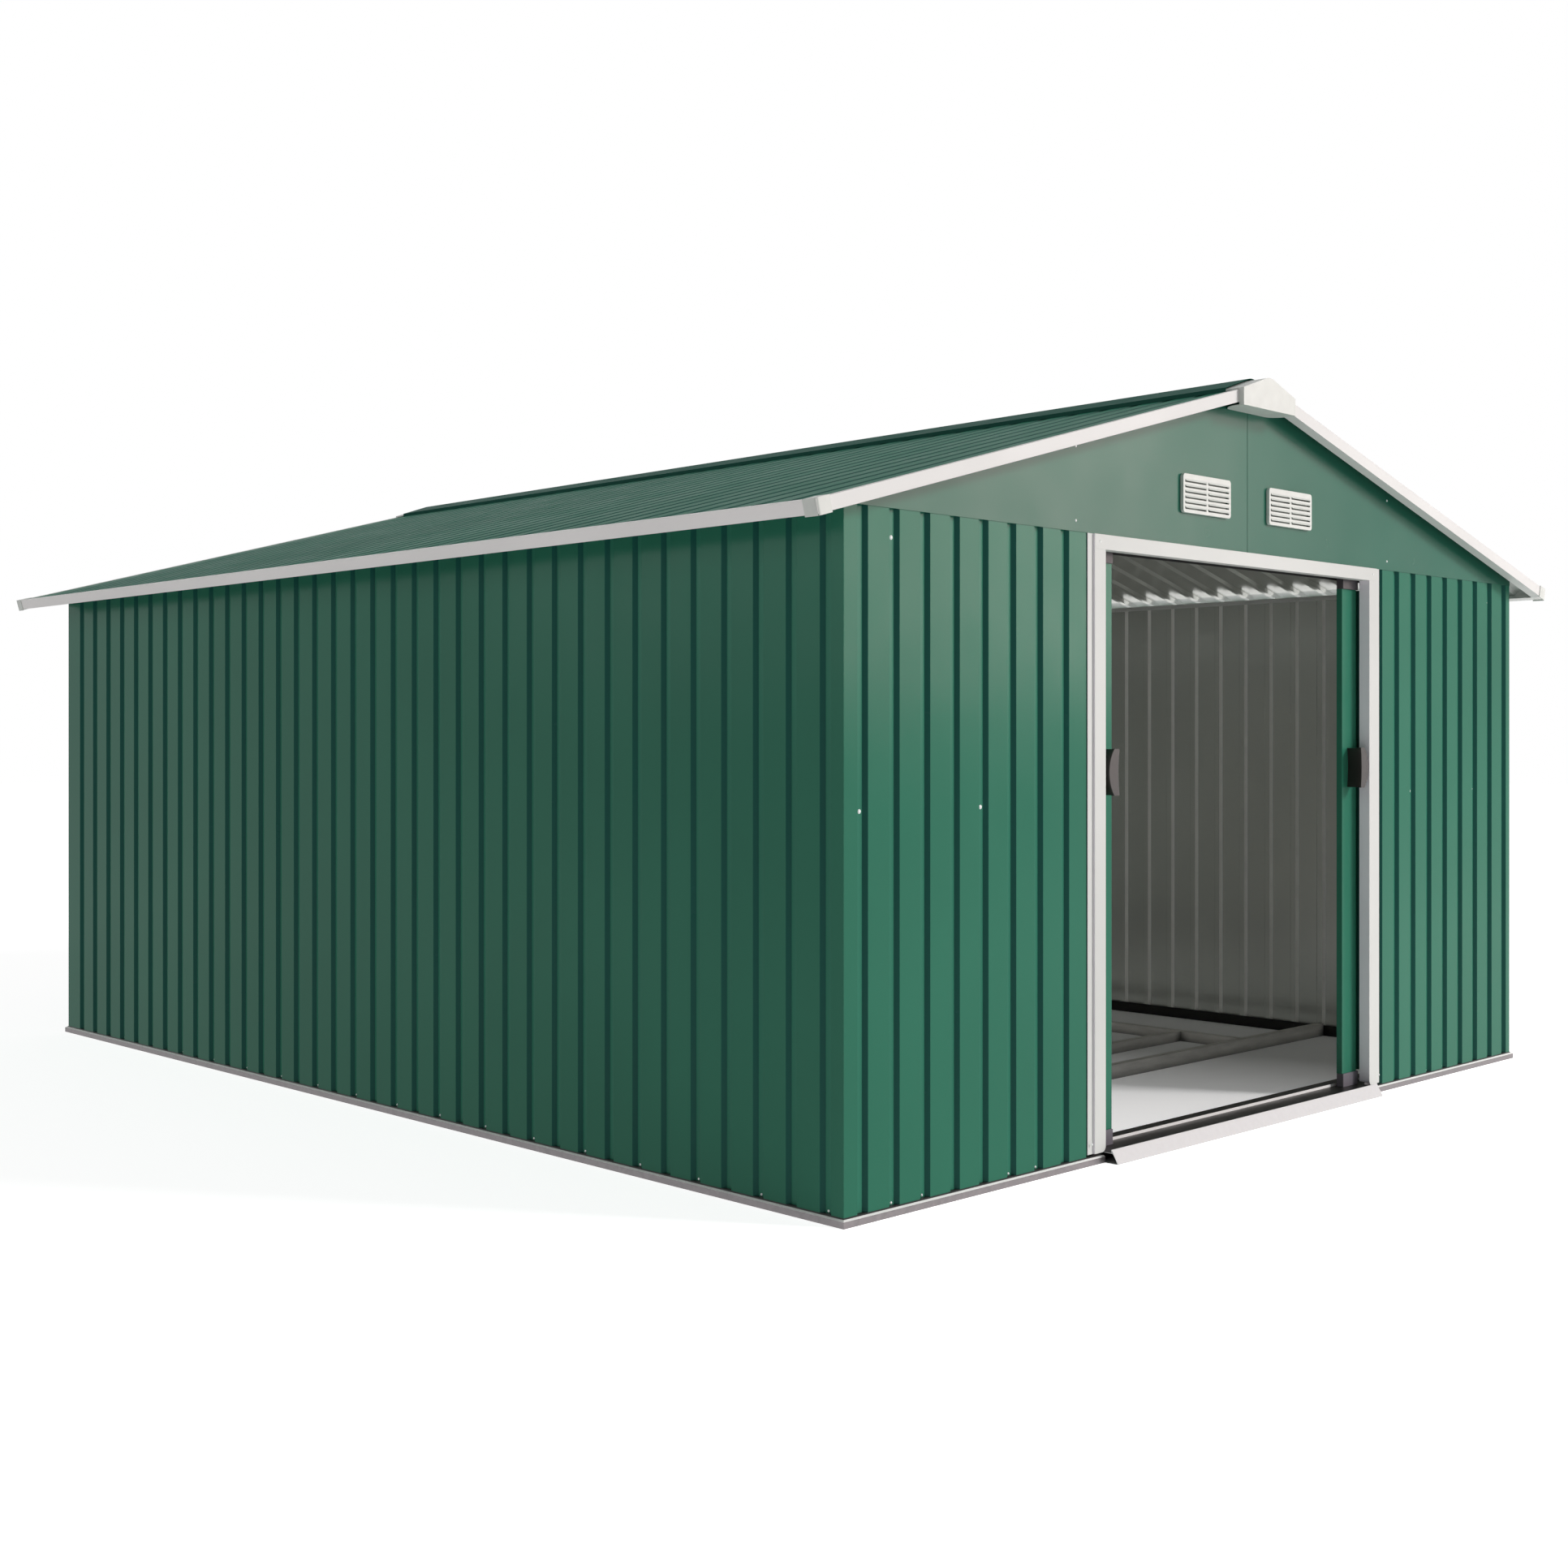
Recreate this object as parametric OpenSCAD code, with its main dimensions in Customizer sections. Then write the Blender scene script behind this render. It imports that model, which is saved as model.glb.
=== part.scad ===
// Metal storage shed with a ribbed steel skin, a low gable roof and two sliding doors.
// Millimetres, +Z up. The origin is on the ground in the middle of the plan.
// The door wall faces -Y, and +X is to the right seen from the doors.

/* [Walls] */
// Width over the wall sheets, along X
wall_w = 3100; // [2700:10:3500]
// Depth over the wall sheets, along Y
wall_d = 3720; // [3300:10:4200]
// Height of the wall head, where the gables start
wall_h = 1512; // [1450:1:1700]
// Thickness of the ribbed sheets, gables and folded trims
sheet_t = 1.2; // [1:0.1:1.6]
// Height by which the front and back sheets run up behind the gables
gable_lap = 12; // [8:1:13]

/* [Ribs] */
// Width of a groove at its mouth
groove_mouth = 33; // [28:1:38]
// Width of a groove at its floor
groove_floor = 17; // [12:1:22]
// Depth of a groove
groove_depth = 10; // [8:1:11]
// Spacing of the grooves in the front and back sheets
front_pitch = 100; // [90:0.5:115]
// Left corner to the first front groove
front_first = 58.5; // [45:0.5:75]
// Spacing of the grooves in the side sheets and the roof
side_pitch = 101.7; // [90:0.1:115]
// Front corner to the first side groove
side_first = 52.5; // [45:0.5:75]

/* [Base rails] */
// Thickness of the rails, tracks and floor channels
rail_t = 1.5; // [1.2:0.1:1.8]
// Reach of the rail beyond the wall
rail_reach = 8.5; // [6:0.5:14]
// Height of the rail's outer lip
rail_lip = 14.5; // [10:0.5:16]
// Height of the ledge that the sheets stand on
rail_ledge = 20; // [19:0.5:22]
// Height of the upstand inside the sheets
rail_upstand = 36; // [32:1:50]

/* [Floor frame] */
// Front wall to the web of the front cross beam
beam_inset = 647; // [500:1:800]
// Height of the cross beams
beam_h = 42; // [36:1:50]
// Width of the flanges of the floor channels
beam_flange = 25; // [18:1:35]
// Middle of the shed to the web of a runner
runner_x = 1080; // [900:5:1200]
// Height of the runners and joists
runner_h = 34; // [28:1:36]
// Cross beam to the joist behind it
joist_inset = 273; // [200:1:400]

/* [Doorway] */
// Clear width between the jambs
door_clear_w = 1276; // [1100:2:1400]
// Width of a jamb's face
jamb_face = 44; // [35:1:55]
// Width of a jamb's flange on the wall sheet
jamb_flange = 22; // [15:1:25]
// Reach of the jambs and header in front of the wall
jamb_proud = 6.4; // [4:0.1:7]
// Depth of a jamb's return into the doorway
jamb_return = 31.4; // [28:0.1:33]
// Height of the header's face
header_h = 36; // [30:1:45]
// Radius of the lower inner corner of a jamb's face
jamb_round = 14; // [6:1:20]

/* [Tracks] */
// Height of the lower track's floor
track_floor = 25.5; // [22:0.5:28]
// Height of the lower track's ridge
track_ridge = 33; // [30:0.5:36]
// Width of the lower track's ridge
ridge_run = 24; // [16:1:30]
// Depth of the lower track behind its ridge
track_rear = 30; // [20:1:40]
// Foot of the entry ramp in front of the wall
ramp_foot = 46; // [40:1:60]
// Top of the entry ramp in front of the wall
ramp_top = 27; // [20:1:32]
// Lap of the entry ramp beyond the clear doorway, on each side
ramp_lap = 5; // [2:0.5:7]
// Space in the tracks in front of and behind the doors
track_play = 7; // [5.5:0.1:9]
// Length of the lower track past an open door
track_spare = 40; // [10:1:90]

/* [Doors] */
// Width of a door
leaf_w = 690; // [660:1:720]
// Thickness of a door
leaf_t = 17; // [15:1:20]
// Jamb return to the door's face
leaf_play = 9.5; // [9:0.1:12]
// Reach of the slides and guides in front of the door's face
runner_proud = 4; // [2:0.1:4]
// Middle of the doorway to the edge of an open door
open_edge = 557; // [500:1:590]
// Bottom of the door panel
leaf_bottom = 63.5; // [55:0.5:75]
// Header's lower edge down to the top of the door panel
leaf_head = 26; // [20:1:35]
// Rise of the top slides into the upper track
slide_rise = 19; // [12:1:24]
// Length of a slide or guide
slide_len = 84; // [60:1:110]
// Running clearance of the guides on the track's floor
run_gap = 0.3; // [0.2:0.1:0.5]
// Edge of a door to its first groove
leaf_first = 95; // [85:1:110]
// Height of a door brace
brace_h = 40; // [30:1:60]

/* [Handles] */
// Height of a handle
handle_h = 114; // [95:1:130]
// Width of a handle's grip
handle_w = 42; // [36:1:46]
// Reach of a handle from the door
handle_reach = 43.5; // [32:0.5:48]
// Thickness of a handle's front plate
grip_t = 9; // [6:1:12]
// Setback of a handle's body behind its front plate
grip_lip = 1; // [0.5:0.5:3]
// Depth of the hollow in a handle's edge towards the doorway
grip_hollow = 4; // [2:0.5:6]
// Door's edge to the handle
handle_edge = 28; // [20:1:35]
// Height of the middle of the handles
handle_z = 939; // [850:1:1050]

/* [Roof] */
// Slope of the roof in degrees
roof_pitch = 15; // [12:0.5:18]
// Wall head to the underside of the roof grooves
eave_gap = 15; // [14:0.5:20]
// Reach of the roof trims beyond the front wall
rake_reach = 55; // [45:1:70]
// Reach of the roof trims beyond the back wall
back_reach = 105; // [45:1:120]
// Reach of the eaves beyond the side walls
eave_reach = 136.5; // [100:0.5:180]
// Depth of the white roof trims
trim_h = 31.5; // [28:0.1:45]
// Width of the trims' flanges on the roof
trim_flange = 22; // [15:1:30]
// Width of the eave trims' return below the roof
eave_return = 25; // [15:1:35]
// Width of the lower flange of the rake trims
rake_return = 30; // [20:1:40]
// Clearance at the lower end of the roof sheets
roof_seat = 0.2; // [0.1:0.1:0.5]

/* [Ridge] */
// Half width of the ridge cap
ridge_half = 126; // [100:1:150]
// Lift of the ridge cap above the roof sheets at its sides
ridge_lift = 9.5; // [8:0.5:20]
// Radius of the ridge cap's crown
ridge_crown = 60; // [40:1:140]
// How much steeper the ridge cap is than the roof, in degrees
ridge_steep = 3.5; // [1:0.5:8]
// Wall of the plastic caps
cap_t = 2; // [1.6:0.1:2.6]
// Reach of the ridge end caps beyond the rake trims
end_reach = 14; // [10:1:20]
// Depth of the ridge end caps below the roof's support line at the ridge
end_drop = 62; // [60:1:75]
// Lap of the ridge end caps under the ridge cap
end_lap = 24; // [15:1:40]
// Length of the sides of a ridge end cap on the roof, behind the roof's edge
end_side = 40; // [30:1:60]
// Height of the sides of a ridge end cap above the trims
end_lift = 4; // [3:0.5:6]
// Radius of the rear corners of the ridge end caps' soffit
end_round = 42; // [20:1:50]
// Length of the corner caps along the rakes
corner_rake = 40; // [30:1:60]
// Length of the corner caps along the eaves
corner_eave = 37; // [30:1:60]
// Radius of the corner caps' upright edge
corner_round = 8; // [4:1:14]
// Reach of the corner caps below the trims
corner_drop = 3.5; // [2:0.5:8]

/* [Roof frame] */
// Width of the ridge beam
beam_w = 60; // [45:1:80]
// Depth of the ridge beam and the purlins
purlin_h = 46; // [35:1:55]
// Ridge to the purlins, down the slope
purlin_s = 800; // [650:5:950]
// Width of a purlin
purlin_w = 40; // [30:1:50]
// Depth of the top rails' leg below the wall head
top_rail_h = 12; // [8:1:20]
// Width of the top rails
top_rail_w = 40; // [30:1:50]
// Width of the fold along the top of the gables
gable_fold = 12; // [8:1:18]
// Joint between the two halves of a gable
gable_seam = 2; // [1:0.5:4]

/* [Vents] */
// Width of a vent
vent_w = 219; // [190:1:240]
// Height of a vent
vent_h = 99; // [80:1:110]
// Reach of a vent from the gable
vent_t = 9; // [7:1:18]
// Middle of the gable to the middle of a vent
vent_x = 203; // [160:1:260]
// Wall head to the middle of the vents
vent_rise = 131; // [115:1:150]
// Wall of a vent
vent_wall = 2.5; // [2:0.1:3]
// Radius of a vent's corners
vent_round = 9; // [5:1:14]
// Margin beside and below the slots of a vent
vent_margin = 9; // [7:1:12]
// Rows of slots in a vent
vent_rows = 6; // [4:1:6]
// Spacing of the rows of slots
slot_pitch = 13.6; // [12.5:0.1:14]
// Columns of slots in a vent
vent_columns = 2; // [1:1:3]
// Height of a slot
slot_h = 8; // [6:0.5:9]
// Bar between the columns of slots
slot_bar = 9; // [6:1:14]
// Reach of the louvre over a slot from the vent's face
louvre_out = 3.5; // [2:0.5:5]
// Thickness of a louvre
louvre_t = 1.5; // [1.2:0.1:2]
// Open height of a slot below its louvre
louvre_gap = 3; // [2:0.5:4]

/* [Hidden] */
$fn = 48;

green = [0.24, 0.46, 0.38];
dark_green = [0.13, 0.30, 0.25];
white = [0.90, 0.90, 0.88];
zinc = [0.62, 0.61, 0.61];
primer = [0.32, 0.31, 0.29];
guide_grey = [0.38, 0.37, 0.40];
handle_black = [0.12, 0.11, 0.10];

// A cut reaches past the faces that it opens by this much
past = 1;
half_w = wall_w / 2;
half_d = wall_d / 2;
skin = groove_depth + sheet_t;
rail_in = skin + rail_t;
// Shift of a sheet's inner bends, which keeps its thickness even on the slopes
bend_shift = sheet_t * tan(atan2(groove_depth, (groove_mouth - groove_floor) / 2) / 2);

// Planes of the doorway, along Y
jamb_front_y = -half_d - jamb_proud;
jamb_back_y = jamb_front_y + jamb_return;
leaf_y = jamb_back_y + leaf_play;
leaf_back_y = leaf_y + leaf_t;
runner_y = leaf_y - runner_proud;
track_front_y = runner_y - track_play;
track_back_y = leaf_back_y + track_play;
rail_in_y = -half_d + rail_in;

// Widths and heights of the doorway
jamb_in = door_clear_w / 2;
ramp_w = 2 * (jamb_in + ramp_lap);
jamb_out = jamb_in + jamb_face;
flange_out = jamb_out + jamb_flange;
header_z = wall_h - header_h;
leaf_top = header_z - leaf_head;
leaf_end = open_edge + leaf_w;

// Depths of the roof's layers, square to the slope from the underside of the grooves
roof_top_n = skin;
trim_top_n = roof_top_n + sheet_t;
trim_low_n = trim_top_n - trim_h;
ridge_top_n = roof_top_n + ridge_lift + sheet_t;
end_top_n = trim_top_n + end_lift;
ridge_pitch = roof_pitch + ridge_steep;
rake_y = half_d + rake_reach;
back_rake_y = half_d + back_reach;
slope = tan(roof_pitch);
// Length of a roof slope from the ridge to the eave trim
slope_len = (half_w + eave_reach) / cos(roof_pitch);
// The lower edges of the two rake trims meet at the middle plane
rake_start = (-trim_low_n) * slope;

// Height of the plane that lies n square above the support line of the roof
function roof_z(x, n) = wall_h + eave_gap + (half_w - abs(x)) * slope + n / cos(roof_pitch);

function reversed(list) = [for (i = [len(list) - 1 : -1 : 0]) list[i]];

// Middles of the grooves that lie whole between two places along a sheet
function grooves(first, pitch, low, high) = [
    for (i = [0 : ceil((high - first) / pitch)])
        if (first + i * pitch - groove_mouth / 2 > low && first + i * pitch + groove_mouth / 2 < high)
            first + i * pitch
];

// One face of a ribbed sheet as [place along it, depth], with its bends moved out by shift
function rib_line(low, high, middles, depth, shift) = concat(
    [[low, depth]],
    [for (m = middles, p = [
        [m - groove_mouth / 2 - shift, depth],
        [m - groove_floor / 2 - shift, depth + groove_depth],
        [m + groove_floor / 2 + shift, depth + groove_depth],
        [m + groove_mouth / 2 + shift, depth]
    ]) p],
    [[high, depth]]
);

// Closed section of a ribbed sheet whose outer face lies at depth 0
function rib_section(low, high, middles) = concat(
    rib_line(low, high, middles, 0, 0),
    reversed(rib_line(low, high, middles, sheet_t, bend_shift))
);

front_middles = grooves(front_first, front_pitch, sheet_t, wall_w - sheet_t);
side_middles = grooves(side_first, side_pitch, sheet_t, wall_d - sheet_t);

// Points along a crowned section over the ridge: at ridge_half it lies n above the support line of the
// roof, and the points are moved out by d and end at half
function crown_line(n, d, half) = let (
    r = ridge_crown + d,
    peak = roof_z(ridge_half, n) + ridge_half * tan(ridge_pitch),
    centre_z = peak - ridge_crown / cos(ridge_pitch),
    end_z = peak + d / cos(ridge_pitch) - half * tan(ridge_pitch),
    steps = 8,
    turn = ridge_pitch / steps
) concat(
    [[-half, end_z]],
    [for (i = [-steps : steps]) [r * sin(i * turn), centre_z + r * cos(i * turn)]],
    [[half, end_z]]
);

// Extrudes a section drawn in [y, z] along X
module along_x(low, high) {
    translate([low, 0, 0])
        rotate([90, 0, 90])
            linear_extrude(high - low)
                children();
}

// Extrudes a section drawn in [x, z] along Y
module along_y(low, high) {
    translate([0, high, 0])
        rotate([90, 0, 0])
            linear_extrude(high - low)
                children();
}

// Places what is drawn as [down the slope, y, square to the slope] on the right-hand roof
module on_roof() {
    translate([0, 0, roof_z(0, 0)])
        rotate([0, roof_pitch, 0])
            children();
}

module flip_x() {
    mirror([1, 0, 0])
        children();
}

module flip_y() {
    mirror([0, 1, 0])
        children();
}

// A block given by two opposite corners
module block(low, high) {
    translate(low)
        cube(high - low);
}

// Base rail: u runs inward from the wall's outer face, v is the height
module rail_section() {
    polygon([
        [-rail_reach, 0],
        [-rail_reach, rail_lip],
        [0, rail_ledge],
        [skin, rail_ledge],
        [skin, rail_upstand],
        [rail_in, rail_upstand],
        [rail_in, 0],
        [skin, 0],
        [skin, rail_ledge - rail_t],
        [0, rail_ledge - rail_t],
        [rail_t - rail_reach, rail_lip - rail_t / 2],
        [rail_t - rail_reach, 0]
    ]);
}

// Plan of a rail along a wall of the given half length, mitred at both corners
module mitre_plan(half_length) {
    out = half_length + rail_reach;
    inside = half_length - rail_in;
    linear_extrude(rail_upstand)
        polygon([[-out, -rail_reach], [out, -rail_reach], [inside, rail_in], [-inside, rail_in]]);
}

// A whole rail with its wall's outer face on the X axis
module rail(half_length) {
    intersection() {
        along_x(-half_length - rail_reach, half_length + rail_reach)
            rail_section();
        mitre_plan(half_length);
    }
}

module front_rail_right() {
    intersection() {
        translate([0, -half_d, 0])
            rail(half_w);
        block([ramp_w / 2, -half_d - 2 * rail_reach, -past], [wall_w, 0, rail_upstand + past]);
    }
}

module base_rail_front_left() {
    color(zinc)
        flip_x()
            front_rail_right();
}

module base_rail_front_right() {
    color(zinc)
        front_rail_right();
}

module base_rail_back() {
    color(zinc)
        flip_y()
            translate([0, -half_d, 0])
                rail(half_w);
}

module base_rail_left() {
    color(zinc)
        translate([-half_w, 0, 0])
            rotate([0, 0, -90])
                rail(half_d);
}

module base_rail_right() {
    color(zinc)
        translate([half_w, 0, 0])
            rotate([0, 0, 90])
                rail(half_d);
}

// Channel with its web at 0 and its flanges reaching to one side
module channel_section(height, flange) {
    difference() {
        square([flange, height]);
        translate([rail_t, rail_t])
            square([flange, height - 2 * rail_t]);
    }
}

beam_y = -half_d + beam_inset;

module floor_beam() {
    color(primer)
        translate([0, beam_y, 0])
            along_x(-half_w + rail_in, half_w - rail_in)
                channel_section(beam_h, beam_flange);
}

module floor_beam_front() {
    floor_beam();
}

module floor_beam_back() {
    flip_y()
        floor_beam();
}

module floor_runner_right() {
    end = -beam_y - beam_flange;
    color(primer)
        translate([runner_x, 0, 0])
            along_y(-end, end)
                channel_section(runner_h, beam_flange);
}

module floor_runner_left() {
    flip_x()
        floor_runner_right();
}

module floor_joist_front() {
    color(primer)
        translate([0, beam_y + joist_inset, 0])
            along_x(-runner_x, runner_x)
                channel_section(runner_h, beam_flange);
}

module floor_joist_back() {
    flip_y()
        floor_joist_front();
}

// Ramp up to the doorway, with the sill plate behind it
module door_ramp() {
    foot = -half_d - ramp_foot;
    top = -half_d - ramp_top;
    run = ramp_foot - ramp_top;
    // Thickness of the ramp's sheet, measured along Y
    lean_t = rail_t * norm([run, track_ridge]) / track_ridge;
    color(zinc)
        along_x(-ramp_w / 2, ramp_w / 2)
            polygon([
                [foot, 0],
                [top, track_ridge],
                [top + lean_t, track_ridge],
                [top + lean_t, track_floor],
                [rail_in_y, track_floor],
                [rail_in_y, track_floor - rail_t],
                [foot + lean_t + run * (track_floor - rail_t) / track_ridge, track_floor - rail_t],
                [foot + lean_t, 0]
            ]);
}

// Lower track: two grooves with a folded ridge between them, on two legs
module door_track_lower() {
    ridge_y = leaf_back_y + track_play + rail_t;
    ridge_back = ridge_y + ridge_run;
    back = ridge_back + track_rear;
    color(primer)
        along_x(-leaf_end - track_spare, leaf_end + track_spare)
            polygon([
                [rail_in_y, 0],
                [rail_in_y, track_floor],
                [ridge_y, track_floor],
                [ridge_y, track_ridge],
                [ridge_back, track_ridge],
                [ridge_back, track_floor],
                [back, track_floor],
                [back, 0],
                [back - rail_t, 0],
                [back - rail_t, track_floor - rail_t],
                [ridge_back - rail_t, track_floor - rail_t],
                [ridge_back - rail_t, track_ridge - rail_t],
                [ridge_y + rail_t, track_ridge - rail_t],
                [ridge_y + rail_t, track_floor - rail_t],
                [rail_in_y + rail_t, track_floor - rail_t],
                [rail_in_y + rail_t, 0]
            ]);
}

// Upper track: a channel open below, hung from a lip on the inside of the front sheets
module door_track_upper() {
    lip_y = -half_d + skin;
    color(primer)
        along_x(-half_w + rail_in, half_w - rail_in)
            polygon([
                [lip_y, wall_h - rail_t],
                [lip_y, wall_h + gable_lap],
                [lip_y + rail_t, wall_h + gable_lap],
                [lip_y + rail_t, wall_h],
                [track_back_y + rail_t, wall_h],
                [track_back_y + rail_t, header_z],
                [track_back_y, header_z],
                [track_back_y, wall_h - rail_t],
                [track_front_y, wall_h - rail_t],
                [track_front_y, header_z],
                [track_front_y - rail_t, header_z],
                [track_front_y - rail_t, wall_h - rail_t]
            ]);
}

// Front or back sheet between two places, measured from the left corner
module front_sheet(low, high) {
    color(green)
        translate([-half_w, -half_d, rail_ledge])
            linear_extrude(wall_h + gable_lap - rail_ledge)
                intersection() {
                    polygon(rib_section(sheet_t, wall_w - sheet_t, front_middles));
                    translate([low, -past])
                        square([high - low, skin + 2 * past]);
                }
}

module wall_front_left() {
    front_sheet(0, half_w - jamb_out);
}

module wall_front_right() {
    front_sheet(half_w + jamb_out, wall_w);
}

module wall_back() {
    flip_y()
        front_sheet(0, wall_w);
}

module wall_left() {
    color(green)
        translate([-half_w, -half_d, rail_ledge])
            linear_extrude(wall_h - rail_ledge)
                polygon([for (p = rib_section(0, wall_d, side_middles)) [p[1], p[0]]]);
}

module wall_right() {
    flip_x()
        wall_left();
}

// Angle with its corner at the wall head: u runs inward from the sheet, v is the height
module top_rail_section(head) {
    polygon([
        [0, head],
        [top_rail_w, head],
        [top_rail_w, head - rail_t],
        [rail_t, head - rail_t],
        [rail_t, wall_h - top_rail_h],
        [0, wall_h - top_rail_h]
    ]);
}

// Side top rail, from the upper track to the back: it leaves the eave open under the roof's ribs
module top_rail_right() {
    color(primer)
        translate([half_w - skin, 0, 0])
            along_y(track_back_y + rail_t, half_d - rail_in)
                mirror([1, 0])
                    top_rail_section(wall_h);
}

module top_rail_left() {
    flip_x()
        top_rail_right();
}

module top_rail_back() {
    end = half_w - skin - top_rail_w;
    color(primer)
        flip_y()
            translate([0, -half_d + skin, 0])
                along_x(-end, end)
                    top_rail_section(wall_h + gable_lap);
}

gable_n = groove_depth;

// Half a gable outside the front sheet, with a fold along its top under the roof's flats
module gable_right() {
    middle = gable_seam / 2;
    color(green) {
        along_y(-half_d - sheet_t, -half_d)
            polygon([
                [middle, wall_h],
                [half_w, wall_h],
                [half_w, roof_z(half_w, gable_n)],
                [middle, roof_z(middle, gable_n)]
            ]);
        intersection() {
            on_roof()
                block([0, -half_d - sheet_t, gable_n - sheet_t], [slope_len, -half_d + gable_fold, gable_n]);
            block([middle, -half_d - 2 * sheet_t, wall_h], [half_w, 0, 2 * wall_h]);
        }
    }
}

// Opening in the gable behind a vent
module vent_hole() {
    out = vent_w / 2 - vent_margin;
    up = vent_h / 2 - vent_margin;
    middle_z = wall_h + vent_rise;
    block(
        [vent_x - out, -half_d - 2 * sheet_t, middle_z - up],
        [vent_x + out, -half_d + sheet_t, middle_z + up]
    );
}

module gable_front_right() {
    color(green)
        difference() {
            gable_right();
            vent_hole();
        }
}

module gable_front_left() {
    flip_x()
        gable_front_right();
}

module gable_back_right() {
    flip_y()
        gable_right();
}

module gable_back_left() {
    flip_x()
        gable_back_right();
}

slot_w = (vent_w - 2 * vent_margin - (vent_columns - 1) * slot_bar) / vent_columns;

// Repeats its children at the lower left corner of each slot of a vent
module each_slot() {
    for (row = [0 : vent_rows - 1], column = [0 : vent_columns - 1])
        translate([vent_margin + column * (slot_w + slot_bar), 0, vent_margin + row * slot_pitch])
            children();
}

// Front of a vent, moved in by d
module rounded_plate(d) {
    r = vent_round - d;
    translate([vent_round, d])
        square([vent_w - 2 * vent_round, vent_h - 2 * d]);
    translate([d, vent_round])
        square([vent_w - 2 * d, vent_h - 2 * vent_round]);
    for (x = [vent_round, vent_w - vent_round], z = [vent_round, vent_h - vent_round])
        translate([x, z])
            circle(r);
}

// White vent: a hollow box whose front has rows of slots, each under a louvre that leans out
module vent() {
    translate([-vent_w / 2, -half_d - sheet_t - vent_t, wall_h + vent_rise - vent_h / 2]) {
        difference() {
            along_y(0, vent_t)
                rounded_plate(0);
            along_y(vent_wall, vent_t + past)
                rounded_plate(vent_wall);
            each_slot()
                translate([0, -past, 0])
                    cube([slot_w, vent_wall + 2 * past, slot_h]);
        }
        each_slot()
            along_x(0, slot_w)
                polygon([
                    [0, slot_h],
                    [-louvre_out, louvre_gap],
                    [louvre_t - louvre_out, louvre_gap],
                    [louvre_t, slot_h]
                ]);
    }
}

module gable_vents() {
    color(white)
        for (x = [-vent_x, vent_x])
            translate([x, 0, 0])
                vent();
}

// Ridge beam: a channel whose roof-shaped top carries the sheets at the ridge
module ridge_beam() {
    low = roof_z(0, 0) - purlin_h;
    out = beam_w / 2;
    inside = out - rail_t;
    color(primer)
        along_y(-half_d, half_d)
            polygon([
                [-out, low],
                [-out, roof_z(out, 0)],
                [0, roof_z(0, 0)],
                [out, roof_z(out, 0)],
                [out, low],
                [inside, low],
                [inside, roof_z(inside, -rail_t)],
                [0, roof_z(0, -rail_t)],
                [-inside, roof_z(inside, -rail_t)],
                [-inside, low]
            ]);
}

// Purlin: a channel on its side under the grooves of the roof
module purlin_right() {
    color(primer)
        on_roof()
            translate([purlin_s, 0, -purlin_h])
                along_y(-half_d, half_d)
                    channel_section(purlin_h, purlin_w);
}

module purlin_left() {
    flip_x()
        purlin_right();
}

// Roof sheet: its section is drawn as [along Y, depth] and turned to lie on the slope
module roof_right() {
    low = half_d - rake_y + sheet_t;
    high = half_d + back_rake_y - sheet_t;
    section = rib_section(low, high, side_middles);
    color(green)
        on_roof()
            along_x(bend_shift, slope_len - sheet_t - roof_seat)
                polygon([for (p = section) [p[0] - half_d, roof_top_n - p[1]]]);
}

module roof_left() {
    flip_x()
        roof_right();
}

// Section of a crowned sheet whose sides go down to lip_n above the support line of the roof
module crown_section(n, lip_n, thick) {
    inside = ridge_half - thick;
    polygon(concat(
        [[-ridge_half, roof_z(ridge_half, lip_n)]],
        crown_line(n, 0, ridge_half),
        [[ridge_half, roof_z(ridge_half, lip_n)], [inside, roof_z(inside, lip_n)]],
        reversed(crown_line(n, -thick, inside)),
        [[-inside, roof_z(inside, lip_n)]]
    ));
}

// Ridge cap: a crowned sheet with a lip on each side that stands on the roof sheets
module ridge_cap() {
    color(dark_green)
        along_y(-rake_y + end_side, back_rake_y - end_side)
            crown_section(ridge_top_n, roof_top_n, sheet_t);
}

// Rake trim: a white channel round the end of the roof sheet, with a flange on the sheet and one below it
module rake_trim(edge) {
    end = slope_len - max(trim_flange, eave_return);
    color(white)
        on_roof()
            along_x(rake_start, end)
                polygon([
                    [-edge, trim_low_n],
                    [-edge, trim_top_n],
                    [-edge + trim_flange, trim_top_n],
                    [-edge + trim_flange, roof_top_n],
                    [-edge + sheet_t, roof_top_n],
                    [-edge + sheet_t, trim_low_n + sheet_t],
                    [-edge + rake_return, trim_low_n + sheet_t],
                    [-edge + rake_return, trim_low_n]
                ]);
}

module rake_trim_front_right() {
    rake_trim(rake_y);
}

module rake_trim_front_left() {
    flip_x()
        rake_trim(rake_y);
}

module rake_trim_back_right() {
    flip_y()
        rake_trim(back_rake_y);
}

module rake_trim_back_left() {
    flip_x()
        flip_y()
            rake_trim(back_rake_y);
}

// Eave trim: a white channel over the lower end of the roof sheet
module eave_trim_right() {
    color(white)
        on_roof()
            along_y(-rake_y, back_rake_y)
                polygon([
                    [slope_len, trim_low_n],
                    [slope_len, trim_top_n],
                    [slope_len - trim_flange, trim_top_n],
                    [slope_len - trim_flange, roof_top_n],
                    [slope_len - sheet_t, roof_top_n],
                    [slope_len - sheet_t, trim_low_n + sheet_t],
                    [slope_len - eave_return, trim_low_n + sheet_t],
                    [slope_len - eave_return, trim_low_n]
                ]);
}

module eave_trim_left() {
    flip_x()
        eave_trim_right();
}

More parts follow.
